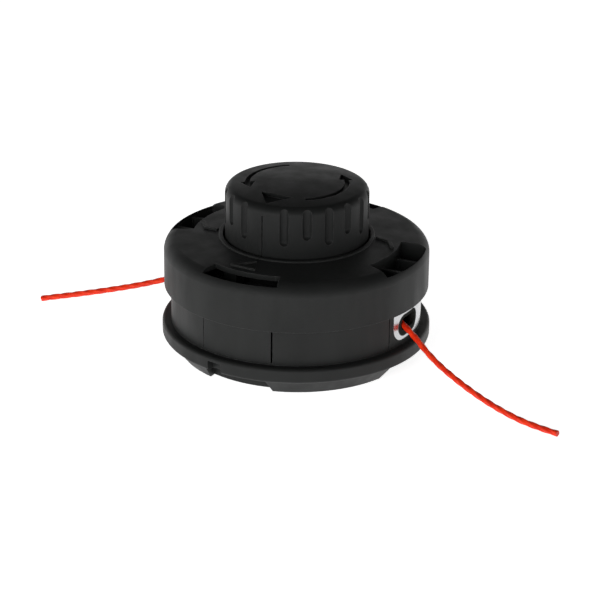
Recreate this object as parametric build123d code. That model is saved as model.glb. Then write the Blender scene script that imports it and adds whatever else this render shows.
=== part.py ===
from build123d import *
import math
import os

# Bump-feed trimmer line head, knob up, drive side down on its feet. Millimetres, +Z up.
# The axis of rotation is Z, the two line eyelets lie on +X and -X, the two cover latches on +Y and -Y.

# Clearances
SEAT = 0.3
RUNNING = 0.15
SNAP = 0.3
OVERCUT = 1.0

# Line
LINE_D = 3.0
TURN_HEIGHT = 3.8
TURN_BULGE = 1.1
WOUND_R = 43.0

# Housing: flange, feet, wall and hub
FLANGE_R = 65.9
FLANGE_BOTTOM = 8.1
FLANGE_TOP = 15.5
FLANGE_ROUND = 1.6
FLOOR_TOP = 12.0
RING_WALL = 3.0
RING_TOP = 44.0
FOOT_INSET = 8.6
FOOT_SHOULDER = 1.0
FOOT_WIDTH = 6.3
FOOT_RING_WIDTH = 4.0
FOOT_RING_BOTTOM = 0.8
FOOT_GAP_HALF = 17.0
FOOT_GAP_DRAFT = 1.0
UNDER_RIBS = 12
UNDER_RIB_T = 2.0
UNDER_RIB_BOTTOM = 3.5
BOSS_R = 15.0
BOSS_BOTTOM = 1.2
POST_R = 12.5
POST_WALL = 2.2
POST_TOP = 66.0
SHAFT_HOLE_R = 6.0
NOTCH_WIDTH = 8.0
NOTCH_DEPTH = 4.6
NOTCH_TOP = 13.2
NOTCH_DEG = -98.0
SEAM_WIDTH = 0.7
SEAM_DEPTH = 0.7

# Latch arms, slit free of the housing's wall, with a hook under the cover's skirt
ARM_HALF_DEG = 17.0
ARM_SLIT = 0.85
ARM_PROUD = 0.3
ARM_ROOT = 1.0
ARM_TOP = 50.0
HOOK_HALF_DEG = 8.0
HOOK_REACH = 1.6
HOOK_BOTTOM = 42.4
HOOK_HEIGHT = 4.6
HOOK_LAND = 1.4

# Cover
SKIRT_INSET = 1.1
SKIRT_WALL = 2.3
SKIRT_GAP = 1.0
SKIRT_BOTTOM = 33.9
RIM_Z = 56.9
RIM_ROUND = 3.7
CROWN_Z = 58.4
TOP_T = 2.4
COLLAR_WALL = 2.2
LIP_RISE = 0.8
LIP_ROUND = 0.6
SLEEVE_DEPTH = 7.6
SLOT_MARGIN = 0.9
SLOT_WIDTH = 8.1
SLOT_HALF_DEG = 17.5
POCKET_MARGIN = 0.3
POCKET_WIDTH = 11.2
POCKET_HALF_DEG = 19.7
POCKET_GAP = 1.7
POCKET_WALL = 1.9
POCKET_RIB_Y = 7.5
POCKET_RIB_T = 1.6
POCKET_RIB_TOP = 53.0
SCOOP_HALF_DEG = 21.5
SCOOP_LAND = 0.6
SCOOP_TOP = 53.6
SCOOP_BOTTOM = 50.7
GUSSET_DEGS = (30.0, 48.0, 62.0)
GUSSET_T = 1.6
GUSSET_WIDTH = 5.0

# Spool and its ratchet teeth
TRAVEL = 7.0
SPOOL_GAP = 3.0
SPOOL_TOP = 44.0
SPOOL_FLANGE_T = 2.0
DRIVER_R = 24.0
SPRING_ROOM_R = 20.5
WEB_DEPTH = 5.8
WEB_T = 2.6
NECK_R = 20.0
NECK_WALL = 3.0
NECK_TOP = 72.0
BUSH_WALL = 2.2
BUSH_TOP = 60.0
TEETH = 6
TOOTH_HALF_DEG = 5.0
TOOTH_INNER_R = 40.5
TOOTH_OUTER_R = 46.5
TOOTH_HEIGHT = 3.0
TOOTH_PLAY_DEG = 15.0

# Knob
KNOB_R = 35.0
KNOB_GAP = 0.9
KNOB_TOP = 86.6
KNOB_CROWN = 2.7
KNOB_FLAT_R = 1.5
KNOB_SHOULDER = 4.2
KNOB_WALL = 2.5
KNOB_SLEEVE_WALL = 2.0
KNOB_SLEEVE_BOTTOM = 63.0
FLUTES = 20
FLUTE_R = 2.4
FLUTE_DEPTH = 1.5
FLUTE_END_LONG = 65.0
FLUTE_END_SHORT = 68.3
POINTER_DEG = -90.0
POINTER_WIDTH = 0.8
POINTER_DEPTH = 0.8
POINTER_BOTTOM = 58.0

# Eyelets: a plate in the wall, with a long hole that flares to its face
EYELET_LEAD = 13.9
EYELET_TRAIL = 19.1
EYELET_BOTTOM = 18.1
EYELET_CORNER = 7.0
EYELET_T = 4.3
EYELET_SEAM_GAP = 2.6
EYELET_HOLE_W = 14.4
EYELET_HOLE_H = 6.4
EYELET_HOLE_Y = -0.8
EYELET_HOLE_Z = 25.8
EYELET_FLARE = 3.0

# Drive nut, spring and its washer
NUT_FLATS = 17.0
NUT_BOTTOM = 3.2
NUT_HEIGHT = 10.0
NUT_BORE_R = 4.25
NUT_CHAMFER = 0.8
SPRING_R = 16.6
SPRING_WIRE = 2.0
SPRING_TURNS = 4.5
WASHER_T = 1.0

# Routes of the two line tails, from behind the eyelet to the cut end
TAIL_RIGHT = [
    (56.8, -3.4, 27.0),
    (66.6, -7.6, 23.3),
    (80.5, -13.0, 14.4),
    (97.0, -19.0, 8.8),
    (114.5, -25.0, 4.7),
    (130.5, -29.4, 2.2),
    (143.5, -32.4, 1.6),
    (154.4, -34.0, 1.6),
]
TAIL_LEFT = [
    (-56.8, 1.9, 27.4),
    (-67.7, -1.5, 22.7),
    (-84.2, -6.0, 16.8),
    (-102.8, -10.3, 11.4),
    (-119.4, -13.7, 6.9),
    (-131.2, -15.7, 3.8),
    (-139.2, -17.1, 1.7),
]
BEND_SHARE = 0.45

# Sizes that follow from those above
FOOT_BASE_R = FLANGE_R - FOOT_INSET
FOOT_TOP_R = FLANGE_R - FOOT_SHOULDER
FOOT_INNER_R = FOOT_BASE_R - FOOT_WIDTH
SKIRT_R = FLANGE_R - SKIRT_INSET
SKIRT_INNER_R = SKIRT_R - SKIRT_WALL
RING_R = SKIRT_INNER_R - SKIRT_GAP
RING_INNER_R = RING_R - RING_WALL
ARM_R = RING_R + ARM_PROUD
ARM_FOOT = FLANGE_TOP + ARM_ROOT
HOOK_R = RING_R + HOOK_REACH
COLLAR_INNER_R = KNOB_R + KNOB_GAP
COLLAR_R = COLLAR_INNER_R + COLLAR_WALL
CROWN_SLOPE = (CROWN_Z - RIM_Z) / (SKIRT_R - COLLAR_R)
SLOT_OUTER_R = SKIRT_INNER_R - SLOT_MARGIN
POCKET_OUTER_R = SKIRT_INNER_R - POCKET_MARGIN
POCKET_INNER_R = POCKET_OUTER_R - POCKET_WIDTH
POCKET_FLOOR = RING_TOP + POCKET_GAP + POCKET_WALL
SPOOL_R = RING_INNER_R - SPOOL_GAP
SPOOL_BOTTOM = FLOOR_TOP + TOOTH_HEIGHT + TRAVEL + 2 * SEAT
POST_BORE_R = POST_R - POST_WALL
BUSH_R = POST_R + RUNNING
NECK_BORE_R = NECK_R - NECK_WALL
EYELET_R = RING_R + SEAT
EYELET_INNER_R = EYELET_R - EYELET_T
TOOTH_PITCH_DEG = 360.0 / TEETH
WEB_BOTTOM = SPOOL_TOP - WEB_DEPTH
WASHER_BOTTOM = WEB_BOTTOM - SEAT - WASHER_T
FLANGE_UP = SPOOL_BOTTOM + SPOOL_FLANGE_T
FLANGE_DOWN = SPOOL_TOP - SPOOL_FLANGE_T
DIVIDER_BOTTOM = (FLANGE_UP + FLANGE_DOWN - SPOOL_FLANGE_T) / 2
DIVIDER_TOP = DIVIDER_BOTTOM + SPOOL_FLANGE_T


def crown_height(radius):
    """Height of the cover's sloping top at a radius."""
    return RIM_Z + (SKIRT_R - radius) * CROWN_SLOPE


def turned(outline, rounds=(), arc=360.0, start=0.0):
    """An outline in radius and height, with some corners rounded, turned about Z."""
    face = make_face(outline)
    for corner, radius in rounds:
        vertex = face.vertices().sort_by_distance((corner[0], corner[1], 0))[0]
        face = fillet(vertex, radius)
    return Rot(0, 0, start) * revolve(Plane.XZ * face, Axis.Z, arc)


def closed(*points):
    """A closed outline through points of radius and height."""
    return Polyline(*points, close=True)


def ring(inner, outer, bottom, top):
    """A plain ring."""
    return turned(closed((inner, bottom), (outer, bottom), (outer, top), (inner, top)))


def sector(inner, outer, bottom, top, middle, half):
    """A part of a ring, half degrees to each side of the middle angle."""
    corners = closed((inner, bottom), (outer, bottom), (outer, top), (inner, top))
    return turned(corners, arc=2 * half, start=middle - half)


def block(x0, x1, y0, y1, z0, z1):
    """A box between two corners."""
    centre = ((x0 + x1) / 2, (y0 + y1) / 2, (z0 + z1) / 2)
    return Pos(*centre) * Box(x1 - x0, y1 - y0, z1 - z0)


def spoke(inner, outer, width, bottom, top, angle):
    """A radial bar."""
    return Rot(0, 0, angle) * block(inner, outer, -width / 2, width / 2, bottom, top)


def across_x(sketch, x0, x1):
    """A sketch in the plane across X, pulled from x0 to x1."""
    plane = Plane((x0, 0, 0), x_dir=(0, 1, 0), z_dir=(1, 0, 0))
    return extrude(plane * sketch, x1 - x0)


def eyelet_outline(inset):
    """An eyelet's plate seen along X, round at its lower corners and open upwards."""
    low = EYELET_BOTTOM + inset
    lead = inset - EYELET_LEAD
    trail = EYELET_TRAIL - inset
    face = make_face(Polyline((lead, RING_TOP), (lead, low), (trail, low), (trail, RING_TOP), close=True))
    return fillet(face.vertices().sort_by(Axis.Y)[:2], EYELET_CORNER - inset)


def hexagon_bar(flats, bottom, height):
    """A hexagonal bar about Z."""
    shape = RegularPolygon(flats / 2, 6, major_radius=False)
    return extrude(Pos(0, 0, bottom) * shape, height)


def latch_arm(angle):
    """One latch arm with its hook, standing on the flange."""
    arm = sector(RING_INNER_R, ARM_R, ARM_FOOT, ARM_TOP, angle, ARM_HALF_DEG)
    root = RING_R - SEAM_DEPTH
    hook = turned(
        closed(
            (root, HOOK_BOTTOM),
            (HOOK_R, HOOK_BOTTOM),
            (HOOK_R, HOOK_BOTTOM + HOOK_LAND),
            (root, HOOK_BOTTOM + HOOK_HEIGHT),
        ),
        arc=2 * HOOK_HALF_DEG, start=angle - HOOK_HALF_DEG,
    )
    return arm + hook


def feet():
    """Conical foot ring, cut into four feet down to its inner ring."""
    top = FLANGE_BOTTOM + FLANGE_ROUND
    pads = turned(closed((FOOT_INNER_R, 0), (FOOT_BASE_R, 0), (FOOT_TOP_R, top), (FOOT_INNER_R, top)))
    lower = FOOT_GAP_HALF
    upper = FOOT_GAP_HALF - FOOT_GAP_DRAFT
    gap = make_face(Polyline((-lower, 0), (lower, 0), (upper, top), (-upper, top), close=True))
    for quarter in range(4):
        pads -= Rot(0, 0, quarter * 90.0) * across_x(gap, BOSS_R, FLANGE_R)
    return pads + ring(FOOT_INNER_R, FOOT_INNER_R + FOOT_RING_WIDTH, FOOT_RING_BOTTOM, top)


def housing():
    """Flanged base with feet, wall, latch arms, hub post and ratchet teeth."""
    nut_top = NUT_BOTTOM + NUT_HEIGHT
    profile = closed(
        (SHAFT_HOLE_R, BOSS_BOTTOM),
        (BOSS_R, BOSS_BOTTOM),
        (BOSS_R, FLANGE_BOTTOM),
        (FLANGE_R, FLANGE_BOTTOM),
        (FLANGE_R, FLANGE_TOP),
        (RING_R, FLANGE_TOP),
        (RING_R, RING_TOP),
        (RING_INNER_R, RING_TOP),
        (RING_INNER_R, FLOOR_TOP),
        (POST_R, FLOOR_TOP),
        (POST_R, POST_TOP),
        (POST_BORE_R, POST_TOP),
        (POST_BORE_R, nut_top),
        (SHAFT_HOLE_R, nut_top),
    )
    rounds = [((FLANGE_R, FLANGE_TOP), FLANGE_ROUND), ((FLANGE_R, FLANGE_BOTTOM), FLANGE_ROUND)]
    body = turned(profile, rounds) + feet()
    rib_in = BOSS_R - OVERCUT
    rib_out = FOOT_INNER_R + OVERCUT
    for k in range(UNDER_RIBS):
        angle = (k + 0.5) * 360.0 / UNDER_RIBS
        body += spoke(rib_in, rib_out, UNDER_RIB_T, UNDER_RIB_BOTTOM, FLOOR_TOP - OVERCUT, angle)
    slit_half = ARM_HALF_DEG + math.degrees(ARM_SLIT / RING_R)
    outside = RING_R + OVERCUT
    lead_seam = -math.degrees(math.asin((EYELET_LEAD + EYELET_SEAM_GAP) / RING_R))
    trail_seam = math.degrees(math.asin((EYELET_TRAIL + EYELET_SEAM_GAP) / RING_R))
    for side in (0, 180):
        turn = Rot(0, 0, side)
        body -= turn * across_x(eyelet_outline(0), DRIVER_R, outside)
        body -= turn * sector(RING_INNER_R - OVERCUT, outside, ARM_FOOT, ARM_TOP, 90, slit_half)
        body += turn * latch_arm(90)
        for seam in (lead_seam, trail_seam):
            body -= turn * spoke(RING_R - SEAM_DEPTH, outside, SEAM_WIDTH, FLANGE_TOP, RING_TOP, seam)
        body -= turn * spoke(FLANGE_R - NOTCH_DEPTH, FLANGE_R + OVERCUT, NOTCH_WIDTH, 0, NOTCH_TOP, NOTCH_DEG)
    for k in range(TEETH):
        angle = (k + 0.5) * TOOTH_PITCH_DEG + TOOTH_PLAY_DEG
        body += sector(TOOTH_INNER_R, TOOTH_OUTER_R, FLOOR_TOP, FLOOR_TOP + TOOTH_HEIGHT, angle, TOOTH_HALF_DEG)
    return body - hexagon_bar(NUT_FLATS, NUT_BOTTOM, NUT_HEIGHT)


def cover_shell():
    """The cover's turned shape: skirt, sloping top, lip and inner sleeve."""
    lip_top = CROWN_Z + LIP_RISE
    sleeve_bottom = CROWN_Z - SLEEVE_DEPTH
    profile = closed(
        (SKIRT_INNER_R, SKIRT_BOTTOM),
        (SKIRT_R, SKIRT_BOTTOM),
        (SKIRT_R, RIM_Z),
        (COLLAR_R, CROWN_Z),
        (COLLAR_R, lip_top),
        (COLLAR_INNER_R, lip_top),
        (COLLAR_INNER_R, sleeve_bottom),
        (COLLAR_R, sleeve_bottom),
        (COLLAR_R, CROWN_Z - TOP_T),
        (SKIRT_INNER_R, crown_height(SKIRT_INNER_R) - TOP_T),
    )
    rounds = [
        ((SKIRT_R, RIM_Z), RIM_ROUND),
        ((COLLAR_R, lip_top), LIP_ROUND),
        ((COLLAR_INNER_R, lip_top), LIP_ROUND),
    ]
    return turned(profile, rounds)


def pocket_tub():
    """Solid under the cover's top that a finger pocket is cut into."""
    inner = POCKET_INNER_R - POCKET_WALL
    outer = SKIRT_INNER_R + SEAT
    under = POCKET_FLOOR - POCKET_WALL
    roof = SEAT - TOP_T
    half = POCKET_HALF_DEG + math.degrees(POCKET_WALL / POCKET_INNER_R)
    tub = closed((inner, under), (outer, under), (outer, crown_height(outer) + roof), (inner, crown_height(inner) + roof))
    return turned(tub, arc=2 * half, start=-half)


def pocket_hollow():
    """Hollow of a finger pocket, less its two ribs, with the scoop in the rim beside it."""
    hollow = sector(POCKET_INNER_R, POCKET_OUTER_R, POCKET_FLOOR, CROWN_Z, 0, POCKET_HALF_DEG)
    for y in (-POCKET_RIB_Y, POCKET_RIB_Y):
        hollow -= block(
            POCKET_INNER_R - POCKET_WIDTH, SKIRT_R,
            y - POCKET_RIB_T / 2, y + POCKET_RIB_T / 2, POCKET_FLOOR, POCKET_RIB_TOP,
        )
    inside = POCKET_OUTER_R - SEAT
    beyond = SKIRT_R + OVERCUT
    scoop = closed(
        (inside, CROWN_Z),
        (inside, SCOOP_TOP),
        (POCKET_OUTER_R + SCOOP_LAND, SCOOP_TOP),
        (SKIRT_R, SCOOP_BOTTOM),
        (beyond, SCOOP_BOTTOM),
        (beyond, CROWN_Z),
    )
    return hollow + turned(scoop, arc=2 * SCOOP_HALF_DEG, start=-SCOOP_HALF_DEG)


def cover():
    """Cap with skirt, collar, latch slots, ribbed pockets and ratchet teeth."""
    body = cover_shell()
    gusset_top = crown_height(SKIRT_INNER_R) - TOP_T + SEAT
    gusset_in = SKIRT_INNER_R - GUSSET_WIDTH
    catch_half = HOOK_HALF_DEG + math.degrees(OVERCUT / RING_R)
    for side in (0, 180):
        turn = Rot(0, 0, side)
        body += turn * pocket_tub()
        body -= turn * pocket_hollow()
        for angle in GUSSET_DEGS:
            for hand in (-angle, angle):
                body += turn * spoke(gusset_in, SKIRT_INNER_R + SEAT, GUSSET_T, RING_TOP, gusset_top, hand)
        body -= turn * sector(
            SLOT_OUTER_R - SLOT_WIDTH, SLOT_OUTER_R, CROWN_Z - SLEEVE_DEPTH, CROWN_Z, 90, SLOT_HALF_DEG
        )
        body -= turn * sector(
            SKIRT_INNER_R - SEAT, HOOK_R + SNAP,
            HOOK_BOTTOM - SNAP, HOOK_BOTTOM + HOOK_HEIGHT + SNAP, 90, catch_half,
        )
    roof = crown_height(TOOTH_OUTER_R) - TOP_T + SEAT
    for k in range(TEETH):
        angle = k * TOOTH_PITCH_DEG + TOOTH_PLAY_DEG
        body += sector(TOOTH_INNER_R, TOOTH_OUTER_R, SPOOL_TOP + SEAT, roof, angle, TOOTH_HALF_DEG)
    return body


def spool():
    """Two-channel line spool with its neck, guide bush and ratchet teeth."""
    body = turned(closed(
        (SPRING_ROOM_R, SPOOL_BOTTOM),
        (SPOOL_R, SPOOL_BOTTOM),
        (SPOOL_R, FLANGE_UP),
        (DRIVER_R, FLANGE_UP),
        (DRIVER_R, DIVIDER_BOTTOM),
        (SPOOL_R, DIVIDER_BOTTOM),
        (SPOOL_R, DIVIDER_TOP),
        (DRIVER_R, DIVIDER_TOP),
        (DRIVER_R, FLANGE_DOWN),
        (SPOOL_R, FLANGE_DOWN),
        (SPOOL_R, SPOOL_TOP),
        (NECK_R, SPOOL_TOP),
        (NECK_R, NECK_TOP),
        (NECK_BORE_R, NECK_TOP),
        (NECK_BORE_R, WEB_BOTTOM + WEB_T),
        (BUSH_R + BUSH_WALL, WEB_BOTTOM + WEB_T),
        (BUSH_R + BUSH_WALL, BUSH_TOP),
        (BUSH_R, BUSH_TOP),
        (BUSH_R, WEB_BOTTOM),
        (SPRING_ROOM_R, WEB_BOTTOM),
    ))
    for k in range(TEETH):
        angle = k * TOOTH_PITCH_DEG
        body += sector(TOOTH_INNER_R, TOOTH_OUTER_R, FLANGE_DOWN, SPOOL_TOP + TOOTH_HEIGHT, angle, TOOTH_HALF_DEG)
        low = angle + TOOTH_PITCH_DEG / 2
        body += sector(TOOTH_INNER_R, TOOTH_OUTER_R, SPOOL_BOTTOM - TOOTH_HEIGHT, FLANGE_UP, low, TOOTH_HALF_DEG)
    return body


def wound_line(bottom, top):
    """The line wound in one channel of the spool, with its outer turns as ridges."""
    turns = max(1, int((top - bottom) / TURN_HEIGHT))
    pitch = (top - bottom) / turns
    edges = [Polyline((WOUND_R, bottom), (DRIVER_R, bottom), (DRIVER_R, top), (WOUND_R, top))]
    for k in range(turns):
        low = bottom + k * pitch
        middle = (WOUND_R + TURN_BULGE, low + pitch / 2)
        edges.append(ThreePointArc((WOUND_R, low), middle, (WOUND_R, low + pitch)))
    return turned(edges)


def knob():
    """Hollow domed feed knob with gripping flutes, a pointer line and an inner sleeve."""
    edge_z = KNOB_TOP - KNOB_CROWN
    ceiling = edge_z - KNOB_WALL
    sleeve_r = NECK_R + RUNNING
    walls = Polyline(
        (KNOB_FLAT_R, KNOB_TOP),
        (0, KNOB_TOP),
        (0, ceiling),
        (sleeve_r, ceiling),
        (sleeve_r, KNOB_SLEEVE_BOTTOM),
        (sleeve_r + KNOB_SLEEVE_WALL, KNOB_SLEEVE_BOTTOM),
        (sleeve_r + KNOB_SLEEVE_WALL, ceiling),
        (KNOB_R - KNOB_WALL, ceiling - KNOB_WALL),
        (KNOB_R - KNOB_WALL, SPOOL_TOP),
        (KNOB_R, SPOOL_TOP),
        (KNOB_R, edge_z),
    )
    dome = ThreePointArc((KNOB_R, edge_z), (KNOB_R / 2, KNOB_TOP - KNOB_CROWN / 4), (KNOB_FLAT_R, KNOB_TOP))
    body = turned([walls, dome], [((KNOB_R, edge_z), KNOB_SHOULDER)])
    reach = KNOB_R + FLUTE_R - FLUTE_DEPTH
    for k in range(1, FLUTES):
        low = FLUTE_R + (FLUTE_END_LONG if k % 2 else FLUTE_END_SHORT)
        length = KNOB_TOP - low
        groove = Pos(reach, 0, low + length / 2) * Cylinder(FLUTE_R, length)
        groove += Pos(reach, 0, low) * Sphere(FLUTE_R)
        body -= Rot(0, 0, POINTER_DEG + k * 360.0 / FLUTES) * groove
    return body - spoke(
        KNOB_R - POINTER_DEPTH, KNOB_R + OVERCUT, POINTER_WIDTH, POINTER_BOTTOM, edge_z - KNOB_SHOULDER, POINTER_DEG
    )


def eyelet(side):
    """Metal wear plate in the wall's notch, with the flared hole that the line runs through."""
    plate = across_x(eyelet_outline(RUNNING), DRIVER_R, EYELET_R)
    plate &= ring(EYELET_INNER_R, EYELET_R, FLANGE_BOTTOM, RING_TOP)
    hole = Pos(EYELET_HOLE_Y, EYELET_HOLE_Z) * SlotOverall(EYELET_HOLE_W, EYELET_HOLE_H)
    plate -= across_x(hole, DRIVER_R, EYELET_R)
    pierced = plate.faces().filter_by(lambda face: len(face.inner_wires()) > 0)
    front = pierced.sort_by(SortBy.AREA)[-1]
    plate = fillet(front.inner_wires()[0].edges(), EYELET_FLARE)
    return Rot(0, 0, side) * plate


def arbor_nut():
    """Hexagonal drive nut held in the hub."""
    nut = hexagon_bar(NUT_FLATS - 2 * RUNNING, NUT_BOTTOM, NUT_HEIGHT)
    nut -= Pos(0, 0, NUT_BOTTOM + NUT_HEIGHT / 2) * Cylinder(NUT_BORE_R, NUT_HEIGHT)
    rims = nut.edges().filter_by(GeomType.CIRCLE)
    return chamfer(rims, NUT_CHAMFER)


def spring():
    """Compression spring round the hub post, between the floor and the washer."""
    low = FLOOR_TOP + (SEAT + SPRING_WIRE) / 2
    height = WASHER_BOTTOM - (SEAT + SPRING_WIRE) / 2 - low
    path = Pos(0, 0, low) * Helix(height / SPRING_TURNS, height, SPRING_R)
    section = Plane(path @ 0, z_dir=path % 0) * Circle(SPRING_WIRE / 2)
    return sweep(section, path, is_frenet=True)


def line_tail(name, points):
    """A free end of the cutting line: straight runs joined by tangent arcs."""
    vectors = [Vector(*point) for point in points]
    runs = [b - a for a, b in zip(vectors, vectors[1:])]
    radii = []
    for before, after in zip(runs, runs[1:]):
        half_turn = math.radians(before.get_angle(after)) / 2
        radii.append(BEND_SHARE * min(before.length, after.length) / math.tan(half_turn))
    path = FilletPolyline(*points, radius=radii)
    section = Plane(path @ 0, z_dir=path % 0) * Circle(LINE_D / 2)
    tube = sweep(section, path)
    expected = math.pi * LINE_D ** 2 / 4 * path.length
    print(name, "radii", [round(radius) for radius in radii], "length", round(path.length, 1))
    print(name, "volume", round(tube.volume, 1), "section times length", round(expected, 1))
    return tube


def parts():
    """Every piece by its name."""
    return {
        "housing": housing(),
        "cover": cover(),
        "knob": knob(),
        "spool": spool(),
        "wound_line_lower": wound_line(FLANGE_UP, DIVIDER_BOTTOM),
        "wound_line_upper": wound_line(DIVIDER_TOP, FLANGE_DOWN),
        "eyelet_right": eyelet(0),
        "eyelet_left": eyelet(180),
        "arbor_nut": arbor_nut(),
        "spring": spring(),
        "spring_washer": ring(POST_R + RUNNING, SPRING_ROOM_R - SEAT, WASHER_BOTTOM, WASHER_BOTTOM + WASHER_T),
        "line_tail_right": line_tail("line_tail_right", TAIL_RIGHT),
        "line_tail_left": line_tail("line_tail_left", TAIL_LEFT),
    }


os.makedirs("parts", exist_ok=True)
for node, shape in parts().items():
    export_step(shape, f"parts/{node}.step")
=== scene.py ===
"""Looks of a bump-feed trimmer line head, in metres: finishes, cover, knob, spring, line and studio."""

import logging
import math
from collections.abc import Callable
from dataclasses import dataclass, field
from enum import Enum

import bmesh
import bpy
from mathutils import Matrix, Vector


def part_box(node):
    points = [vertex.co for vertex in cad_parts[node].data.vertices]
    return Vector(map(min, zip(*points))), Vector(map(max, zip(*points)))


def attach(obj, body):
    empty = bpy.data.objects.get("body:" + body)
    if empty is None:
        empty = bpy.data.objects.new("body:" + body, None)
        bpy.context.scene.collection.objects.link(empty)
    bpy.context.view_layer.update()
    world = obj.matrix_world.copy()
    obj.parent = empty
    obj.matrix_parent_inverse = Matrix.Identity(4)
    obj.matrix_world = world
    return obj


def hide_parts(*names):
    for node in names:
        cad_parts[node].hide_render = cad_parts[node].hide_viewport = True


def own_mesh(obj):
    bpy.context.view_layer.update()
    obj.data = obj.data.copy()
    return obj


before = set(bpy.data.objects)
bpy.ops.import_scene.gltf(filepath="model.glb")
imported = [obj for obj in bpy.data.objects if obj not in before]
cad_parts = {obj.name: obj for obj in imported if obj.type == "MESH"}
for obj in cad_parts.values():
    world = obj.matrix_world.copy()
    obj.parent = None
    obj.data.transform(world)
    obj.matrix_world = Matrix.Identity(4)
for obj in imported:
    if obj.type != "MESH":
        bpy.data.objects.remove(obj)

LOG = logging.getLogger("trimmer_head")
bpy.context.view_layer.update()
MM = 0.001
Pair = tuple[float, float]
Point = tuple[float, float, float]
Colour = tuple[float, float, float, float]
Socket = bpy.types.NodeSocket
Tree = bpy.types.NodeTree
Material = bpy.types.Material
Shape = bmesh.types.BMesh

WHITE: Colour = (1.0, 1.0, 1.0, 1.0)
HALF_TURNS_DEG = (0, 180)
# Corners of CAD triangles that lie closer than this are one corner
WELD = 0.002 * MM
# Edges from this angle on stay sharp
SHARP_DEG = 32.0
# Faces that come closer to Z than this, or whose normal leans further aside, aren't shaded as turned ones
AXIS_GAP = 2 * MM
TURNED_LEAN = 0.06
BEVEL_SAMPLES = 6


class Body(Enum):
    """The bodies that pieces ride on."""

    HOUSING = "housing"
    SPOOL = "spool"


class Slot(Enum):
    """The record's material slots."""

    BLACK_PLASTIC = "black_plastic"
    KNOB_PLASTIC = "knob_plastic"
    EYELET_METAL = "eyelet_metal"
    STEEL = "steel"
    LINE = "line"


class Join(Enum):
    """How one piece's shape joins another's."""

    CUT = "DIFFERENCE"
    ADD = "UNION"


class Graph:
    """A shader node tree under construction."""

    def __init__(self, tree: Tree) -> None:
        """Keeps the tree that nodes are added to."""
        self.tree = tree

    def add(self, kind: str, **settings: object) -> bpy.types.Node:
        """Adds a node and sets its properties and unlinked inputs.

        Args:
            kind: The node's type name.
            settings: Property values, or input values by socket name with spaces as underscores.

        Returns:
            The new node.
        """
        node = self.tree.nodes.new(kind)
        for name, value in settings.items():
            socket = node.inputs.get(name.replace("_", " "))
            if socket is not None and not hasattr(type(node), name):
                socket.default_value = value
            else:
                setattr(node, name, value)
        return node

    def link(self, source: Socket, target: Socket) -> None:
        """Joins an output to an input."""
        self.tree.links.new(source, target)

    def maths(self, operation: str, first: object, second: object) -> Socket:
        """Adds a Math node.

        Args:
            operation: The Math node's operation.
            first: A socket or a number.
            second: A socket or a number.

        Returns:
            The result's socket.
        """
        node = self.add("ShaderNodeMath", operation=operation)
        for socket, value in zip(node.inputs, (first, second)):
            if isinstance(value, Socket):
                self.link(value, socket)
            else:
                socket.default_value = value
        return node.outputs[0]

    def ramp(self, value: Socket, low: float, high: float) -> Socket:
        """Spreads the values from low to high over 0 to 1.

        Args:
            value: The socket to spread.
            low: The value that becomes 0.
            high: The value that becomes 1.

        Returns:
            The result's socket.
        """
        node = self.add("ShaderNodeMapRange", clamp=True)
        node.inputs["From Min"].default_value = low
        node.inputs["From Max"].default_value = high
        self.link(value, node.inputs["Value"])
        return node.outputs["Result"]

    def noise(self, vector: Socket, scale: float, detail: float = 2.0) -> Socket:
        """Adds a noise texture.

        Args:
            vector: Where the noise is read.
            scale: How often it repeats in a metre.
            detail: Its octaves.

        Returns:
            The noise's socket.
        """
        node = self.add("ShaderNodeTexNoise", Scale=scale, Detail=detail)
        self.link(vector, node.inputs["Vector"])
        return node.outputs[0]

    def mix(self, factor: Socket, first: object, second: object) -> Socket:
        """Mixes two colours.

        Args:
            factor: The share of the second colour.
            first: A colour or a socket.
            second: A colour or a socket.

        Returns:
            The mixed colour's socket.
        """
        node = self.add("ShaderNodeMix", data_type="RGBA")
        self.link(factor, node.inputs["Factor"])
        for socket, value in ((node.inputs[6], first), (node.inputs[7], second)):
            if isinstance(value, Socket):
                self.link(value, socket)
            else:
                socket.default_value = value
        return node.outputs[2]


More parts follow.
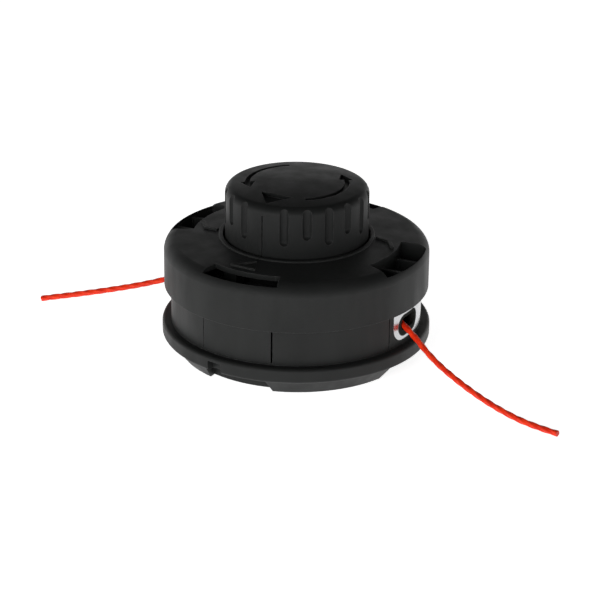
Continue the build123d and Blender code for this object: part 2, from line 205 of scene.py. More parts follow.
@dataclass
class Effects:
    """Shader node groups that several finishes share, each built once."""

    fine_ratio: float = 1.7
    fine_share: float = 0.6
    cloud_per_metre: float = 38.0
    cloud_edges: Pair = (0.3, 0.72)
    # Edge cosines and patches place the painted highlight on edges
    edge_cosines: Pair = (0.995, 0.82)
    patch_per_metre: float = 420.0
    patch_edges: Pair = (0.25, 0.62)
    smear_stretch: Point = (1.0, 1.0, 0.25)
    smear_per_metre: float = 120.0
    smear_edges: Pair = (0.35, 0.75)
    built: dict[str, Tree] = field(default_factory=dict)

    def _start(
        self, name: str, inputs: dict[str, str], outputs: list[str],
    ) -> tuple[Graph, bpy.types.Node, bpy.types.Node]:
        """Starts a group.

        Args:
            name: The group's name.
            inputs: Socket types by input name.
            outputs: Names of the float outputs.

        Returns:
            The graph, its input node and its output node.
        """
        tree = bpy.data.node_groups.new(name, "ShaderNodeTree")
        for label, kind in inputs.items():
            tree.interface.new_socket(label, in_out="INPUT", socket_type=kind)
        for label in outputs:
            tree.interface.new_socket(label, in_out="OUTPUT", socket_type="NodeSocketFloat")
        self.built[name] = tree
        graph = Graph(tree)
        return graph, graph.add("NodeGroupInput"), graph.add("NodeGroupOutput")

    def moulded_grain(self) -> Tree:
        """The fine spark-eroded grain of moulded plastic, as a height and a tone.

        Returns:
            The group, with inputs Vector and Scale and outputs Height and Tone.
        """
        if "moulded_grain" in self.built:
            return self.built["moulded_grain"]
        sockets = {"Vector": "NodeSocketVector", "Scale": "NodeSocketFloat"}
        graph, start, end = self._start("moulded_grain", sockets, ["Height", "Tone"])
        pits = graph.add("ShaderNodeTexVoronoi", feature="SMOOTH_F1")
        graph.link(start.outputs["Vector"], pits.inputs["Vector"])
        graph.link(start.outputs["Scale"], pits.inputs["Scale"])
        fine = graph.add("ShaderNodeTexNoise", Detail=3.0)
        graph.link(start.outputs["Vector"], fine.inputs["Vector"])
        graph.link(graph.maths("MULTIPLY", start.outputs["Scale"], self.fine_ratio), fine.inputs["Scale"])
        relief = graph.maths("MULTIPLY", fine.outputs[0], self.fine_share)
        graph.link(graph.maths("ADD", pits.outputs["Distance"], relief), end.inputs["Height"])
        cloud = graph.noise(start.outputs["Vector"], self.cloud_per_metre, detail=4.0)
        graph.link(graph.ramp(cloud, *self.cloud_edges), end.inputs["Tone"])
        return self.built["moulded_grain"]

    def edge_highlight(self) -> Tree:
        """Where edges get a painted highlight, broken into random patches.

        Returns:
            The group, with inputs Vector and Radius and output Mask.
        """
        if "edge_highlight" in self.built:
            return self.built["edge_highlight"]
        sockets = {"Vector": "NodeSocketVector", "Radius": "NodeSocketFloat"}
        graph, start, end = self._start("edge_highlight", sockets, ["Mask"])
        bevel = graph.add("ShaderNodeBevel", samples=BEVEL_SAMPLES)
        graph.link(start.outputs["Radius"], bevel.inputs["Radius"])
        geometry = graph.add("ShaderNodeNewGeometry")
        dot = graph.add("ShaderNodeVectorMath", operation="DOT_PRODUCT")
        graph.link(bevel.outputs["Normal"], dot.inputs[0])
        graph.link(geometry.outputs["Normal"], dot.inputs[1])
        # Edges found by the Bevel normal get a painted highlight, broken into noise patches
        edge = graph.ramp(dot.outputs["Value"], *self.edge_cosines)
        spots = graph.noise(start.outputs["Vector"], self.patch_per_metre, detail=4.0)
        patch = graph.ramp(spots, *self.patch_edges)
        graph.link(graph.maths("MULTIPLY", edge, patch), end.inputs["Mask"])
        return self.built["edge_highlight"]

    def handling(self) -> Tree:
        """Faint streaks and smears that vary the gloss.

        Returns:
            The group, with input Vector and output Mask.
        """
        if "handling" in self.built:
            return self.built["handling"]
        graph, start, end = self._start("handling", {"Vector": "NodeSocketVector"}, ["Mask"])
        stretch = graph.add("ShaderNodeMapping")
        stretch.inputs["Scale"].default_value = self.smear_stretch
        graph.link(start.outputs["Vector"], stretch.inputs["Vector"])
        smear = graph.noise(stretch.outputs["Vector"], self.smear_per_metre, detail=5.0)
        graph.link(graph.ramp(smear, *self.smear_edges), end.inputs["Mask"])
        return self.built["handling"]

    @staticmethod
    def place(graph: Graph, group: Tree, vector: Socket, **values: float) -> bpy.types.Node:
        """Places a group in a material.

        Args:
            graph: The material's graph.
            group: The group.
            vector: The coordinates that it reads.
            values: Its other inputs.

        Returns:
            The group's node.
        """
        node = graph.add("ShaderNodeGroup", node_tree=group)
        graph.link(vector, node.inputs["Vector"])
        for name, value in values.items():
            node.inputs[name].default_value = value
        return node


def new_material(name: str) -> tuple[Material, Graph, bpy.types.Node, Socket]:
    """Starts a material with one Principled shader.

    Args:
        name: The material's name.

    Returns:
        The material, its graph, its shader and the Object coordinates.
    """
    material = bpy.data.materials.new(name)
    material.use_nodes = True
    graph = Graph(material.node_tree)
    shader = material.node_tree.nodes["Principled BSDF"]
    coordinates = graph.add("ShaderNodeTexCoord")
    return material, graph, shader, coordinates.outputs["Object"]


@dataclass(frozen=True)
class MouldedPlastic:
    """Grained black plastic with a painted highlight in patches along its edges."""

    name: str
    colour: Colour
    cloud_colour: Colour
    # Colour of the painted highlight on edges
    edge_highlight_colour: Colour
    gloss: float
    dull: float
    grain_per_metre: float
    grain_height: float
    edge_radius: float = 0.35 * MM
    grain_strength: float = 0.5
    specular: float = 0.22

    def material(self, effects: Effects) -> Material:
        """Builds the material.

        Args:
            effects: The shared groups.

        Returns:
            The material.
        """
        material, graph, shader, vector = new_material(self.name)
        grain = effects.place(graph, effects.moulded_grain(), vector, Scale=self.grain_per_metre)
        edge_light = effects.place(graph, effects.edge_highlight(), vector, Radius=self.edge_radius)
        marks = effects.place(graph, effects.handling(), vector)
        clouded = graph.mix(grain.outputs["Tone"], self.colour, self.cloud_colour)
        # Edges are painted lighter: a painted highlight
        colour = graph.mix(edge_light.outputs["Mask"], clouded, self.edge_highlight_colour)
        graph.link(colour, shader.inputs["Base Color"])
        spread = graph.maths("MULTIPLY", marks.outputs["Mask"], self.dull - self.gloss)
        graph.link(graph.maths("ADD", spread, self.gloss), shader.inputs["Roughness"])
        bevel = graph.add("ShaderNodeBevel", samples=BEVEL_SAMPLES, Radius=self.edge_radius)
        bump = graph.add("ShaderNodeBump", Strength=self.grain_strength, Distance=self.grain_height)
        graph.link(grain.outputs["Height"], bump.inputs["Height"])
        graph.link(bevel.outputs["Normal"], bump.inputs["Normal"])
        graph.link(bump.outputs["Normal"], shader.inputs["Normal"])
        shader.inputs["Specular IOR Level"].default_value = self.specular
        return material


@dataclass(frozen=True)
class Mouth:
    """The flared mouth of the two eyelets, with painted shade that stands in for the dark reflection
    inside it.
    """

    # Colour of the painted shade in the mouth
    colour: Colour
    offset: float = -0.8 * MM
    height: float = 25.2 * MM
    half_run: float = 4.0 * MM
    rim: float = 5.8 * MM
    soft: float = 0.5 * MM

    def mask(self, graph: Graph, vector: Socket) -> Socket:
        """Finds the places inside the mouth, where the shade is painted.

        Args:
            graph: The material's graph.
            vector: The Object coordinates.

        Returns:
            A socket that is 1 inside the mouth and 0 on the plate.
        """
        split = graph.add("ShaderNodeSeparateXYZ")
        graph.link(vector, split.inputs[0])
        side = graph.maths("SIGN", split.outputs["X"], 0.0)
        along = graph.maths("SUBTRACT", graph.maths("MULTIPLY", split.outputs["Y"], side), self.offset)
        along = graph.maths("SUBTRACT", graph.maths("ABSOLUTE", along, 0.0), self.half_run)
        along = graph.maths("MAXIMUM", along, 0.0)
        across = graph.maths("SUBTRACT", split.outputs["Z"], self.height)
        squares = graph.maths(
            "ADD", graph.maths("MULTIPLY", along, along), graph.maths("MULTIPLY", across, across),
        )
        return graph.ramp(graph.maths("SQRT", squares, 0.0), self.rim, self.rim - self.soft)


@dataclass(frozen=True)
class BrightMetal:
    """Polished or plated metal with fine rubbing marks."""

    name: str
    colour: Colour
    dull_colour: Colour
    gloss: float
    dull: float
    lines_per_metre: float
    # Where painted shade goes in an eyelet mouth, if anywhere
    mouth: Mouth | None = None
    line_stretch: Point = (1.0, 1.0, 0.04)
    line_strength: float = 0.25
    line_depth: float = 0.01 * MM

    def material(self, effects: Effects) -> Material:
        """Builds the material.

        Args:
            effects: The shared groups.

        Returns:
            The material.
        """
        material, graph, shader, vector = new_material(self.name)
        shader.inputs["Metallic"].default_value = 1.0
        shader.inputs["Specular IOR Level"].default_value = 0.0
        marks = effects.place(graph, effects.handling(), vector)
        colour = graph.mix(marks.outputs["Mask"], self.colour, self.dull_colour)
        # The mouth is painted dark and not metallic: painted shade in place of its dark reflection
        if self.mouth is not None:
            mouth_shade = self.mouth.mask(graph, vector)
            colour = graph.mix(mouth_shade, colour, self.mouth.colour)
            graph.link(graph.maths("SUBTRACT", 1.0, mouth_shade), shader.inputs["Metallic"])
        graph.link(colour, shader.inputs["Base Color"])
        stretch = graph.add("ShaderNodeMapping")
        stretch.inputs["Scale"].default_value = self.line_stretch
        graph.link(vector, stretch.inputs["Vector"])
        lines = graph.noise(stretch.outputs["Vector"], self.lines_per_metre, detail=3.0)
        spread = graph.maths("MULTIPLY", lines, self.dull - self.gloss)
        graph.link(graph.maths("ADD", spread, self.gloss), shader.inputs["Roughness"])
        bump = graph.add("ShaderNodeBump", Strength=self.line_strength, Distance=self.line_depth)
        graph.link(lines, bump.inputs["Height"])
        graph.link(bump.outputs["Normal"], shader.inputs["Normal"])
        return material


@dataclass(frozen=True)
class NylonLine:
    """Bright nylon monofilament, darker in random streaks."""

    name: str
    colour: Colour
    deep_colour: Colour
    gloss: float = 0.32
    dull: float = 0.5
    specular: float = 0.22
    grain_per_metre: float = 2600.0
    grain_strength: float = 0.3
    grain_height: float = 0.03 * MM
    streaks_per_metre: float = 260.0
    streak_edges: Pair = (0.35, 0.7)
    through_light: float = 0.08
    through_reach: Point = (0.002, 0.0006, 0.0003)

    def material(self, effects: Effects) -> Material:
        """Builds the material.

        Args:
            effects: The shared groups.

        Returns:
            The material.
        """
        material, graph, shader, vector = new_material(self.name)
        grain = effects.place(graph, effects.moulded_grain(), vector, Scale=self.grain_per_metre)
        streak = graph.ramp(graph.noise(vector, self.streaks_per_metre, detail=3.0), *self.streak_edges)
        graph.link(graph.mix(streak, self.colour, self.deep_colour), shader.inputs["Base Color"])
        spread = graph.maths("MULTIPLY", grain.outputs["Tone"], self.dull - self.gloss)
        graph.link(graph.maths("ADD", spread, self.gloss), shader.inputs["Roughness"])
        bump = graph.add("ShaderNodeBump", Strength=self.grain_strength, Distance=self.grain_height)
        graph.link(grain.outputs["Height"], bump.inputs["Height"])
        graph.link(bump.outputs["Normal"], shader.inputs["Normal"])
        shader.inputs["Specular IOR Level"].default_value = self.specular
        shader.inputs["Subsurface Weight"].default_value = self.through_light
        shader.inputs["Subsurface Radius"].default_value = self.through_reach
        return material


def new_piece(name: str, shape: Shape) -> bpy.types.Object:
    """Makes an object of a bmesh and frees it.

    Args:
        name: The piece's name.
        shape: Its shape, in metres.

    Returns:
        The linked object.
    """
    mesh = bpy.data.meshes.new(name)
    shape.to_mesh(mesh)
    shape.free()
    piece = bpy.data.objects.new(name, mesh)
    bpy.context.scene.collection.objects.link(piece)
    return piece


@dataclass(frozen=True)
class Facet:
    """One face of a turned piece: its normal, its weight and whether it lies on a turned surface."""

    normal: Vector
    area: float
    turned: bool
    outward: float

    @classmethod
    def of(cls, mesh: bpy.types.Mesh, polygon: bpy.types.MeshPolygon) -> "Facet":
        """Reads a face.

        Args:
            mesh: The mesh that it belongs to.
            polygon: The face.

        Returns:
            The facet.
        """
        places = [mesh.vertices[index].co for index in polygon.vertices]
        first = places[0].xy
        if min(place.xy.length for place in places) < AXIS_GAP:
            return cls(polygon.normal.copy(), polygon.area, False, 0.0)
        turns = [math.atan2(first.cross(place.xy), first.dot(place.xy)) for place in places]
        radial = Matrix.Rotation((min(turns) + max(turns)) / 2, 2) @ first.normalized()
        flat = polygon.normal.xy
        outward = math.copysign(flat.length, flat.dot(radial))
        return cls(polygon.normal.copy(), polygon.area, abs(radial.cross(flat)) < TURNED_LEAN, outward)

    def at(self, place: Vector) -> Vector:
        """The surface's normal at one of the face's corners.

        Args:
            place: The corner.

        Returns:
            The normal, turned about Z to the corner where the surface is a turned one.
        """
        if not self.turned:
            return self.normal
        radial = place.xy.normalized() * self.outward
        return Vector((radial.x, radial.y, self.normal.z))


def smooth(piece: bpy.types.Object, sharp_deg: float = SHARP_DEG) -> None:
    """Shades a piece smooth with normals that follow its turned surfaces, and keeps its edges sharp.

    Args:
        piece: The piece.
        sharp_deg: The angle from which an edge is sharp.
    """
    mesh = piece.data
    mesh.polygons.foreach_set("use_smooth", [True] * len(mesh.polygons))
    facets = [Facet.of(mesh, polygon) for polygon in mesh.polygons]
    around: dict[int, list[Facet]] = {}
    for polygon, facet in zip(mesh.polygons, facets):
        for index in polygon.vertices:
            around.setdefault(index, []).append(facet)
    limit = math.cos(math.radians(sharp_deg))
    normals = []
    for polygon, facet in zip(mesh.polygons, facets):
        for index in polygon.vertices:
            place = mesh.vertices[index].co
            own = facet.at(place)
            total = Vector((0, 0, 0))
            for other in around[index]:
                near = other.at(place)
                if near.dot(own) > limit:
                    total += near * other.area
            normals.append(total.normalized() if total.length else own)
    mesh.normals_split_custom_set(normals)


def merged_copy(node: str, name: str) -> bpy.types.Object:
    """Copies a CAD node's mesh with its loose triangles joined.

    Args:
        node: The node.
        name: The copy's name.

    Returns:
        The copy.
    """
    shape = bmesh.new()
    shape.from_mesh(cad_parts[node].data)
    bmesh.ops.remove_doubles(shape, verts=shape.verts, dist=WELD)
    return new_piece(name, shape)


def carve(piece: bpy.types.Object, shape: Shape, join: Join = Join.CUT) -> None:
    """Cuts a shape out of a piece, or adds it, and frees the shape.

    Args:
        piece: The piece that is changed.
        shape: The shape.
        join: Whether it is cut out or added.
    """
    tool = new_piece("tool", shape)
    modifier = piece.modifiers.new("carve", "BOOLEAN")
    modifier.operation = join.value
    modifier.solver = "EXACT"
    modifier.object = tool
    depsgraph = bpy.context.evaluated_depsgraph_get()
    result = bpy.data.meshes.new_from_object(piece.evaluated_get(depsgraph))
    piece.modifiers.clear()
    piece.data = result
    bpy.data.objects.remove(tool)


def dress(piece: bpy.types.Object, material: Material, body: Body, node: str) -> None:
    """Gives a piece its finish and its body, and hides the node that it replaces.

    Args:
        piece: The piece.
        material: Its material.
        body: The body that it rides on.
        node: The node that it replaces.
    """
    piece.data.materials.clear()
    piece.data.materials.append(material)
    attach(piece, body.value)
    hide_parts(node)
    LOG.info("%s rides on %s with %d faces", piece.name, body.value, len(piece.data.polygons))


def verts_of(geometry: list[object]) -> list[bmesh.types.BMVert]:
    """Picks the vertices out of an operator's result."""
    return [item for item in geometry if isinstance(item, bmesh.types.BMVert)]


def pull_up(shape: Shape, height: float) -> None:
    """Closes a sheet into a solid by pulling a copy of its faces up.

    Args:
        shape: The sheet.
        height: How far it is pulled.
    """
    pulled = bmesh.ops.extrude_face_region(shape, geom=shape.faces[:])
    bmesh.ops.translate(shape, verts=verts_of(pulled["geom"]), vec=(0, 0, height))
    bmesh.ops.triangulate(shape, faces=shape.faces)
    bmesh.ops.recalc_face_normals(shape, faces=shape.faces)


def prism(outline: list[Pair], floor: Callable[[float], float], height: float) -> Shape:
    """Pulls an outline up into a prism whose lower end follows a turned surface.

    Args:
        outline: Its corners in X and Y.
        floor: The lower end's height at a distance from Z.
        height: The prism's height.

    Returns:
        The prism.
    """
    shape = bmesh.new()
    shape.faces.new([shape.verts.new((x, y, floor(math.hypot(x, y)))) for x, y in outline])
    pull_up(shape, height)
    return shape


def turned(section: list[Pair], start_deg: float, sweep_deg: float, steps: int) -> Shape:
    """Turns a section about Z into a closed solid.

    Args:
        section: Its corners, as distance from Z and height.
        start_deg: Where the turn starts.
        sweep_deg: How far it turns.
        steps: The number of steps.

    Returns:
        The solid.
    """
    shape = bmesh.new()
    corners = [shape.verts.new((distance, 0, height)) for distance, height in section]
    edges = [shape.edges.new(pair) for pair in zip(corners, corners[1:] + corners[:1])]
    bmesh.ops.rotate(shape, verts=corners, matrix=Matrix.Rotation(math.radians(start_deg), 3, "Z"))
    bmesh.ops.spin(
        shape, geom=[*corners, *edges], cent=(0, 0, 0), axis=(0, 0, 1),
        angle=math.radians(sweep_deg), steps=steps, use_merge=sweep_deg == 360,
    )
    bmesh.ops.holes_fill(shape, edges=shape.edges, sides=0)
    bmesh.ops.recalc_face_normals(shape, faces=shape.faces)
    return shape


def stroke(start: Vector, end: Vector, width: float) -> list[Pair]:
    """The outline of a straight stroke.

    Args:
        start: Its first end.
        end: Its other end.
        width: Its width.

    Returns:
        Four corners.
    """
    along = (end - start).normalized()
    side = Vector((-along.y, along.x)) * width / 2
    return [tuple(corner) for corner in (start - side, end - side, end + side, start + side)]


@dataclass
class FeedKnob:
    """The feed knob, with two turning arrows and a triangle sunk in its domed top."""

    radius: float = 35.0 * MM
    crown: float = 2.7 * MM
    arrow_radius: float = 24.0 * MM
    arrow_width: float = 2.4 * MM
    arrow_degs: tuple[Pair, ...] = ((-53.0, 56.0), (127.0, 228.0))
    head_deg: float = 20.0
    head_width: float = 7.4 * MM
    triangle_base: float = 20.6 * MM
    triangle_tip: float = 31.6 * MM
    triangle_half: float = 8.4 * MM
    sign_depth: float = 1.7 * MM
    cut_height: float = 5 * MM
    arc_steps: int = 28

    def _floor(self, distance: float) -> float:
        """The height of the signs' floor, which follows the dome.

        Args:
            distance: The distance from Z.

        Returns:
            The height.
        """
        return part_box("knob")[1].z - self.crown * (distance / self.radius) ** 2 - self.sign_depth

    def _arrow(self, start_deg: float, tip_deg: float) -> Shape:
        """Makes the cutter of one curved arrow.

        Args:
            start_deg: Where its shaft starts.
            tip_deg: Where its head ends.

        Returns:
            The cutter.
        """
        shape = bmesh.new()
        middle, half, wide = self.arrow_radius, self.arrow_width / 2, self.head_width / 2
        start, neck, tip = (math.radians(turn) for turn in (start_deg, tip_deg - self.head_deg, tip_deg))
        first = [shape.verts.new((side, 0, self._floor(side))) for side in (middle - half, middle + half)]
        edge = shape.edges.new(first)
        bmesh.ops.transform(shape, matrix=Matrix.Rotation(start, 4, "Z"), verts=shape.verts)
        spun = bmesh.ops.spin(
            shape, geom=[edge, *first], cent=(0, 0, 0), axis=(0, 0, 1),
            angle=neck - start, steps=self.arc_steps,
        )
        inside, outside = sorted(verts_of(spun["geom_last"]), key=lambda vert: vert.co.xy.length)
        corners = []
        for distance, turn in ((middle - wide, neck), (middle, tip), (middle + wide, neck)):
            place = (distance * math.cos(turn), distance * math.sin(turn), self._floor(distance))
            corners.append(shape.verts.new(place))
        shape.faces.new([inside, *corners, outside])
        bmesh.ops.recalc_face_normals(shape, faces=shape.faces)
        pull_up(shape, self.cut_height)
        return shape

    def _triangle(self) -> Shape:
        """Makes the cutter of the triangle that points at the pointer line.

        Returns:
            The cutter.
        """
        outline = [
            (-self.triangle_half, -self.triangle_base),
            (0.0, -self.triangle_tip),
            (self.triangle_half, -self.triangle_base),
        ]
        return prism(outline, self._floor, self.cut_height)

    def build(self, material: Material) -> None:
        """Builds and dresses the knob.

        Args:
            material: Its finish.
        """
        piece = merged_copy("knob", "feed_knob")
        for start_deg, tip_deg in self.arrow_degs:
            carve(piece, self._arrow(start_deg, tip_deg))
        carve(piece, self._triangle())
        smooth(piece)
        dress(piece, material, Body.SPOOL, "knob")


@dataclass(frozen=True)
class Sector:
    """A block about Z between two radii and two angles, in millimetres and degrees."""

    inner: float
    outer: float
    foot: float
    first_deg: float
    last_deg: float

    def solid(self, turn_deg: float, top: float, steps: int) -> Shape:
        """Makes the block.

        Args:
            turn_deg: How far it is turned about Z.
            top: Its upper end, in metres.
            steps: The steps of a full turn.

        Returns:
            The block, in metres.
        """
        inner, outer, foot = self.inner * MM, self.outer * MM, self.foot * MM
        sweep = self.last_deg - self.first_deg
        section = [(inner, foot), (outer, foot), (outer, top), (inner, top)]
        return turned(section, turn_deg + self.first_deg, sweep, max(2, round(steps * sweep / 360)))


@dataclass
class LatchedCover:
    """The cover, with a full round on its rim, thin pocket walls, wide slots and open arrow marks."""

    radius: float = 64.8 * MM
    rim_height: float = 56.9 * MM
    slope: float = 0.0562
    rim_round: float = 6.4 * MM
    round_steps: int = 16
    turn_steps: int = 192
    overcut: float = 2.0 * MM
    skin: float = 0.02 * MM
    pocket_wall: Sector = Sector(61.8, 64.75, 49.0, -22.5, 22.5)
    pocket_bays: tuple[Sector, ...] = (
        Sector(61.5, 63.3, 47.0, -19.6, -7.75),
        Sector(61.5, 63.3, 47.0, -6.1, 6.1),
        Sector(61.5, 63.3, 47.0, 7.75, 19.6),
    )
    pocket_mouth: Sector = Sector(61.45, 63.34, 53.05, -19.65, 19.65)
    slot_side: Sector = Sector(61.3, 62.7, 50.0, -107.3, -70.2)
    slot_end: Sector = Sector(53.6, 61.4, 49.95, -74.0, -70.25)
    marks: tuple[tuple[Pair, ...], ...] = (
        ((0.4, -41.4), (-7.9, -49.3), (4.4, -49.4)),
        ((36.1, 14.4), (42.8, 14.0), (48.3, 7.3)),
    )
    stroke_width: float = 1.7 * MM
    mark_rise: float = 0.8 * MM
    mark_root: float = 0.6 * MM

    def _mark_foot(self, distance: float) -> float:
        """The height of the marks' lower ends, a little below the cover's sloping top.

        Args:
            distance: The distance from Z.

        Returns:
            The height.
        """
        return self.rim_height + (self.radius - distance) * self.slope - self.mark_root

    def _rim(self) -> Shape:
        """Makes the ring that is cut off the rim to leave a full round.

        Returns:
            The ring.
        """
        middle = self.radius - self.rim_round
        height = self.rim_height + self.rim_round * (self.slope - math.hypot(1, self.slope))
        reach = self.rim_round + self.skin
        last = math.pi / 2 - math.atan(self.slope)
        section = []
        for step in range(self.round_steps + 1):
            turn = last * step / self.round_steps
            section.append((middle + reach * math.cos(turn), height + reach * math.sin(turn)))
        above = self.rim_height + self.overcut
        beyond = self.radius + self.overcut
        section += [(section[-1][0], above), (beyond, above), (beyond, height)]
        return turned(section, 0, 360, self.turn_steps)

    def _ridges(self, turn_deg: float) -> list[Shape]:
        """Makes the strokes of the open arrow marks on one half of the cover.

        Args:
            turn_deg: How far the half is turned about Z.

        Returns:
            One ridge for each stroke.
        """
        spin = Matrix.Rotation(math.radians(turn_deg), 2)
        ridges = []
        for mark in self.marks:
            first, apex, last = (spin @ Vector(point) * MM for point in mark)
            for end in (first, last):
                reach = apex + (apex - end).normalized() * self.stroke_width / 2
                outline = stroke(reach, end, self.stroke_width)
                ridges.append(prism(outline, self._mark_foot, self.mark_root + self.mark_rise))
        return ridges

    def build(self, material: Material) -> None:
        """Builds and dresses the cover.

        Args:
            material: Its finish.
        """
        piece = merged_copy("cover", "latched_cover")
        for turn_deg in HALF_TURNS_DEG:
            carve(piece, self.pocket_wall.solid(turn_deg, self.rim_height, self.turn_steps), Join.ADD)
        carve(piece, self._rim())
        for turn_deg in HALF_TURNS_DEG:
            for hollow in (*self.pocket_bays, self.pocket_mouth, self.slot_side, self.slot_end):
                carve(piece, hollow.solid(turn_deg, self.rim_height + self.overcut, self.turn_steps))
            for ridge in self._ridges(turn_deg):
                carve(piece, ridge, Join.ADD)
        smooth(piece)
        dress(piece, material, Body.HOUSING, "cover")


@dataclass(frozen=True)
class PlainCopy:
    """A piece of the housing that keeps its node's shape and is shaded smooth."""

    node: str
    name: str
    slot: Slot

    def build(self, material: Material) -> None:
        """Builds and dresses the piece.

        Args:
            material: Its finish.
        """
        piece = merged_copy(self.node, self.name)
        smooth(piece)
        dress(piece, material, Body.HOUSING, self.node)


@dataclass
class CoilSpring:
    """The spring under the spool, built as a coil that fills the CAD spring's box."""

    joint: str = "knob_press"
    wire: float = 2.0 * MM
    turns: float = 4.5
    wire_sides: int = 16
    turn_steps: int = 64

    def _coil(self, low: Vector, high: Vector) -> Shape:
        """Winds the wire up from the lower end of a box to its upper end.

        Args:
            low: The box's lowest corner.
            high: The box's highest corner.

        Returns:
            The coil.
        """
        radius = (high.x - low.x - self.wire) / 2
        steps = round(self.turns * self.turn_steps)
        shape = bmesh.new()
        bmesh.ops.create_circle(shape, segments=self.wire_sides, radius=self.wire / 2)
        bmesh.ops.rotate(shape, verts=shape.verts, matrix=Matrix.Rotation(math.radians(90), 3, "X"))
        bmesh.ops.translate(shape, verts=shape.verts, vec=(radius, 0, low.z + self.wire / 2))
        bmesh.ops.spin(
            shape, geom=[*shape.verts, *shape.edges], cent=(0, 0, 0), axis=(0, 0, 1),
            dvec=(0, 0, (high.z - low.z - self.wire) / steps),
            angle=math.radians(360 * self.turns), steps=steps,
        )
        bmesh.ops.holes_fill(shape, edges=shape.edges, sides=0)
        bmesh.ops.recalc_face_normals(shape, faces=shape.faces)
        return shape

    def build(self, material: Material) -> None:
        """Builds and dresses the spring.

        Args:
            material: Its finish.
        """
        low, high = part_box("spring")
        piece = new_piece("coil_spring", self._coil(low, high))
        piece.data.shade_smooth()
        dress(piece, material, Body.HOUSING, "spring")
        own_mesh(piece)


@dataclass
class LineTail:
    """A free end of the cutting line: twisted nylon on a smooth route."""

    name: str
    node: str
    route: tuple[Point, ...]
    diameter: float = 3.0 * MM
    lobes: int = 4
    lobe_depth: float = 0.16
    twist_length: float = 26.0 * MM
    sides: int = 32
    steps_per_point: int = 24
    sharp_deg: float = 40.0

    def _path(self) -> list[Vector]:
        """Reads points from the route's NURBS spline.

        Returns:
            Points along the line, in metres.
        """
        curve = bpy.data.curves.new(self.name + "_route", "CURVE")
        curve.dimensions = "3D"
        curve.resolution_u = self.steps_per_point
        spline = curve.splines.new("NURBS")
        spline.points.add(len(self.route) - 1)
        for point, place in zip(spline.points, self.route):
            point.co = (*(Vector(place) * MM), 1.0)
        spline.order_u = 3
        spline.use_endpoint_u = True
        guide = bpy.data.objects.new(curve.name, curve)
        bpy.context.scene.collection.objects.link(guide)
        mesh = bpy.data.meshes.new_from_object(guide)
        path = [vert.co.copy() for vert in mesh.vertices]
        bpy.data.objects.remove(guide)
        bpy.data.meshes.remove(mesh)
        return path

    def _section(self, shape: Shape) -> list[bmesh.types.BMEdge]:
        """Starts the sweep with one lobed ring about the origin.

        Args:
            shape: The bmesh that gets the ring.

        Returns:
            The ring's edges.
        """
        ring = bmesh.ops.create_circle(shape, segments=self.sides, radius=self.diameter / 2)
        for vert in ring["verts"]:
            angle = math.atan2(vert.co.y, vert.co.x)
            vert.co *= 1.0 - self.lobe_depth * (1.0 - math.cos(self.lobes * angle)) / 2.0
        return shape.edges[:]

    def build(self, material: Material) -> None:
        """Args:
            material: Its finish.
        """
        path = self._path()
        shape = bmesh.new()
        edges = self._section(shape)
        tangent = (path[1] - path[0]).normalized()
        facing = Vector((0, 0, 1)).rotation_difference(tangent).to_matrix().to_4x4()
        bmesh.ops.transform(shape, matrix=Matrix.Translation(path[0]) @ facing, verts=shape.verts)
        for before, here, after in zip(path, path[1:], path[2:] + [path[-1] * 2 - path[-2]]):
            step = (here - before).length
            heading = (after - before).normalized()
            bend = tangent.rotation_difference(heading).to_matrix().to_4x4()
            twist = Matrix.Rotation(2 * math.pi * step / self.twist_length, 4, heading)
            move = Matrix.Translation(here) @ twist @ bend @ Matrix.Translation(-before)
            grown = bmesh.ops.extrude_edge_only(shape, edges=edges)["geom"]
            ring = verts_of(grown)
            edges = [item for item in grown if isinstance(item, bmesh.types.BMEdge)]
            edges = [edge for edge in edges if all(vert in ring for vert in edge.verts)]
            bmesh.ops.transform(shape, matrix=move, verts=ring)
            tangent = heading
        bmesh.ops.holes_fill(shape, edges=shape.edges, sides=0)
        bmesh.ops.recalc_face_normals(shape, faces=shape.faces)
        piece = new_piece(self.name, shape)
        smooth(piece, self.sharp_deg)
        dress(piece, material, Body.HOUSING, self.node)


@dataclass(frozen=True)
class Lamp:
    """A square soft lamp that glossy surfaces don't show."""

    name: str
    place: Point
    size: float
    watts: float

    def build(self, target: Vector) -> None:
        """Hangs the lamp.

        Args:
            target: The point that it faces.
        """
        data = bpy.data.lights.new(self.name, "AREA")
        data.size = self.size
        data.energy = self.watts
        lamp = bpy.data.objects.new(self.name, data)
        lamp.visible_glossy = False
        turn = (target - Vector(self.place)).to_track_quat("-Z", "Y").to_matrix().to_4x4()
        lamp.matrix_world = Matrix.Translation(self.place) @ turn
        bpy.context.scene.collection.objects.link(lamp)


